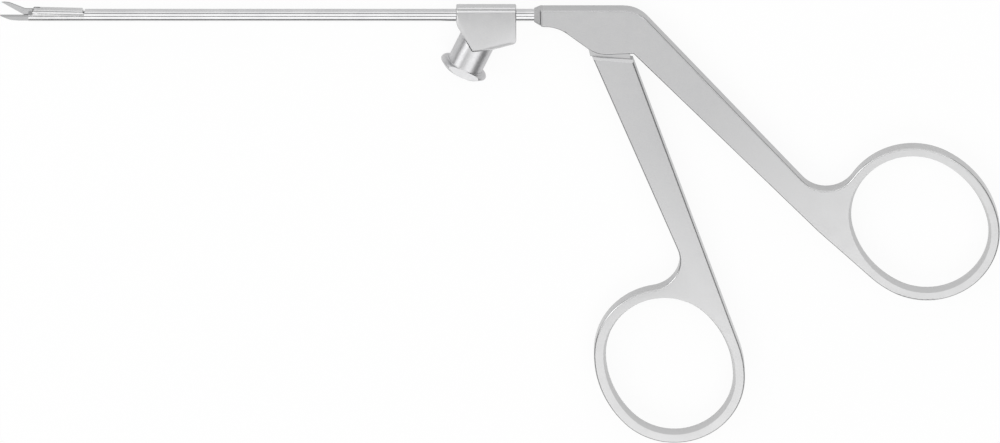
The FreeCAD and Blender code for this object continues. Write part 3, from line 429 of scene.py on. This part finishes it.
def makePortFitting(look, block):
    slope = math.radians(look["slope"])
    along = Vector((-math.sin(slope), -math.cos(slope), 0.0))
    across = Vector((math.cos(slope), -math.sin(slope), 0.0))
    bm = bmesh.new()
    verts = [bm.verts.new((along * reach + across * radius) * mm) for radius, reach in look["profile"]]
    rounds = [bm.edges.new((first, second)) for first, second in zip(verts, verts[1:] + verts[:1])]
    bmesh.ops.spin(
        bm, geom=verts + rounds, cent=(0.0, 0.0, 0.0), axis=along, angle=2 * math.pi,
        steps=look["steps"], use_merge=True)
    bmesh.ops.remove_doubles(bm, verts=bm.verts, dist=weldReach["solid"])
    for side in (1, -1):
        halved = bmesh.ops.bisect_plane(
            bm, geom=bm.verts[:] + bm.edges[:] + bm.faces[:], plane_co=(0.0, 0.0, side * look["flat"] * mm),
            plane_no=(0.0, 0.0, side), clear_outer=True)
        rimEdges = [item for item in halved["geom_cut"] if isinstance(item, bmesh.types.BMEdge)]
        bmesh.ops.contextual_create(bm, geom=rimEdges)
    bmesh.ops.recalc_face_normals(bm, faces=bm.faces)
    # The barrel ends where the block's foot begins
    seat = plateFrom(block["corners"], -look["seat"], look["seat"], block["cornerRounds"])
    bm = cutAway(bm, seat)
    bmesh.ops.translate(bm, verts=bm.verts, vec=portMark)
    piece = meshToObject("portFitting", bm)
    return placePiece(piece, turnedSteel, "luer_fitting", "frame")


makePortFitting(portFitting, portBlock)
print("port shaped")


# Finger lever: the CAD solid, with its front edge trimmed straight and its shoulder chamfered

fingerLever = {
    "shoulderFront": (-2.41, -3.19),
    "shoulderBack": (3.99, -3.73),
    "frontSlope": 22.5,
    "trimDepth": 3.5,
    "trimReach": 3.0,
    "trimHeights": (-2.0, 5.0),
    "clear": 0.01,
    "chamfer": 0.42,
    "past": 0.1,
    "wedgeTop": 0.6,
    "wedgeLength": 9.0,
    "faces": (2.5, 0.0),
}


def makeFingerLever(look):
    bm = bmesh.new()
    bm.from_mesh(nodes["finger_lever"].data)
    bmesh.ops.remove_doubles(bm, verts=bm.verts, dist=weldReach["solid"])
    frontX, frontY = look["shoulderFront"]
    backX, backY = look["shoulderBack"]
    # The web in front of the sloping front edge goes
    footY = frontY - look["trimDepth"]
    footX = frontX + look["trimDepth"] * math.tan(math.radians(look["frontSlope"]))
    clear = look["clear"]
    outside = frontX - look["trimReach"]
    web = plateFrom(
        [(frontX - clear, frontY), (outside, frontY), (outside, footY), (footX - clear, footY)],
        *look["trimHeights"])
    bm = cutAway(bm, web)
    # A chamfer runs along the shoulder on both broad faces
    along = Vector((backX - frontX, backY - frontY, 0.0)).normalized()
    upward = Vector((-along.y, along.x, 0.0))
    start = Vector((frontX, frontY, 0.0)) - along
    past = look["past"]
    deep = -look["chamfer"] - past
    corners = [(deep, past), (past, deep), (look["wedgeTop"], look["wedgeTop"])]
    for face, out in zip(look["faces"], (1, -1)):
        wedge = bmesh.new()
        wedge.faces.new([
            wedge.verts.new((start + upward * rise + Vector((0, 0, face + out * height))) * mm)
            for rise, height in corners])
        drawOut(wedge, along * look["wedgeLength"] * mm)
        bm = cutAway(bm, wedge)
    piece = meshToObject("fingerLever", bm)
    return placePiece(piece, satinSteel, "finger_lever", "lever")


makeFingerLever(fingerLever)
print("lever shaped")


# Floor: a pale disc under the lowest point of the part

floorLook = {
    "radius": 3.5,
    "gap": 0.00002,
    "steps": 96,
    "color": (0.86, 0.86, 0.86),
    "lightColor": (0.88, 0.88, 0.88),
    "cloudScale": 30.0,
    "whiteSeen": 0.92,
    "whiteMirrored": 0.45,
}


def makeFloor(look):
    low = cadBox[0]
    high = cadBox[1]
    bm = bmesh.new()
    bmesh.ops.create_circle(bm, cap_ends=True, segments=look["steps"], radius=look["radius"])
    middle = (Vector(low) + Vector(high)) / 2
    bmesh.ops.translate(bm, verts=bm.verts, vec=(middle.x, middle.y, low[2] - look["gap"]))
    mesh = bpy.data.meshes.new("floor")
    bm.to_mesh(mesh)
    bm.free()
    floor = bpy.data.objects.new("floor", mesh)
    scene.collection.objects.link(floor)
    material, tree, output = newMaterial("paleFloor", (*look["color"], 1.0))
    place = addNode(tree, "ShaderNodeTexCoord")
    cloud = stretchedNoise(tree, place.outputs["Object"], [look["cloudScale"]] * 3)
    tint = mixColors(tree, cloud, (*look["color"], 1.0), (*look["lightColor"], 1.0))
    paint = addNode(tree, "ShaderNodeBsdfDiffuse", {"Color": tint})
    white = addNode(tree, "ShaderNodeEmission", {"Color": (1.0, 1.0, 1.0, 1.0), "Strength": 1.0})
    rays = addNode(tree, "ShaderNodeLightPath")
    mirrored = addNode(
        tree, "ShaderNodeMath",
        {0: rays.outputs["Is Glossy Ray"], 1: rays.outputs["Is Transmission Ray"]}, operation="MAXIMUM")
    mirroredShare = mixNumbers(tree, mirrored.outputs[0], 0.0, look["whiteMirrored"])
    share = mixNumbers(tree, rays.outputs["Is Camera Ray"], mirroredShare, look["whiteSeen"])
    mix = addNode(tree, "ShaderNodeMixShader", {"Fac": share})
    tree.links.new(paint.outputs["BSDF"], mix.inputs[1])
    tree.links.new(white.outputs["Emission"], mix.inputs[2])
    tree.links.new(mix.outputs["Shader"], output.inputs["Surface"])
    mesh.materials.append(material)


makeFloor(floorLook)
print("floor laid")


# Studio: soft boxes over, before and behind the part, in a pale gray room

roomLook = {"zenith": 0.45, "horizon": 0.2, "full": 0.9}
aim = Vector((-0.01691, -0.03153, 0.00125))
softBoxes = {
    "nearBox": {"lean": -37.0, "side": 0.0, "distance": 0.9, "size": (1.05, 0.76), "glow": 1.25},
    "overhead": {"lean": 20.5, "side": 0.0, "distance": 0.9, "size": (2.1, 0.64), "glow": 1.15},
    "farBox": {"lean": 72.0, "side": 0.0, "distance": 1.2, "size": (2.4, 0.72), "glow": 1.0},
    "leftKey": {"lean": 25.0, "side": -55.0, "distance": 0.9, "size": (0.5, 0.6), "glow": 1.6},
}


def makeSoftBox(name, box):
    light = bpy.data.lights.new(name, "AREA")
    light.shape = "RECTANGLE"
    light.size = box["size"][0]
    light.size_y = box["size"][1]
    light.energy = box["glow"] * math.pi * light.size * light.size_y  # watts that give the face this glow
    lamp = bpy.data.objects.new(name, light)
    # Swung to one side about the table's depth, then leant from overhead towards the shaft's side
    swing = Matrix.Rotation(math.radians(box["side"]), 3, "Y")
    turn = Matrix.Rotation(math.radians(-box["lean"]), 3, "X") @ swing
    lamp.location = aim + turn @ Vector((0.0, 0.0, box["distance"]))
    lamp.rotation_euler = turn.to_euler()
    lamp.visible_camera = False
    scene.collection.objects.link(lamp)


for boxName, boxSettings in softBoxes.items():
    makeSoftBox(boxName, boxSettings)

world = bpy.data.worlds.new("grayRoom")
scene.world = world
world.use_nodes = True
sky = world.node_tree
sky.nodes.clear()
skyPlace = addNode(sky, "ShaderNodeTexCoord")
skySplit = addNode(sky, "ShaderNodeSeparateXYZ", {"Vector": skyPlace.outputs["Generated"]})
skyGray = blendRange(
    sky, skySplit.outputs["Z"], 0.0, roomLook["full"], roomLook["horizon"], roomLook["zenith"])
skyRays = addNode(sky, "ShaderNodeLightPath")
skyWhite = mixNumbers(sky, skyRays.outputs["Is Camera Ray"], skyGray, 1.0)
skyShade = addNode(sky, "ShaderNodeBackground", {"Color": (1.0, 1.0, 1.0, 1.0), "Strength": skyWhite})
addNode(sky, "ShaderNodeOutputWorld", {"Surface": skyShade.outputs["Background"]})
print("studio lit")


# Camera: the photograph looks down on the handle, rolled 22 degrees about the shaft

cameraLook = {"roll": 22.0, "distance": 3.0, "across": 0.158, "sensor": 36.0, "clipEnd": 30.0}
roll = math.radians(cameraLook["roll"])
away = Vector((0.0, math.sin(roll), math.cos(roll)))
camera = bpy.data.cameras.new("camera")
camera.sensor_width = cameraLook["sensor"]
camera.lens = camera.sensor_width * cameraLook["distance"] / cameraLook["across"]
camera.clip_end = cameraLook["clipEnd"]
cameraHolder = bpy.data.objects.new("camera", camera)
cameraHolder.location = aim + away * cameraLook["distance"]
cameraHolder.rotation_euler = (-roll, 0.0, 0.0)
scene.collection.objects.link(cameraHolder)
scene.camera = cameraHolder
scene.view_settings.view_transform = "Standard"
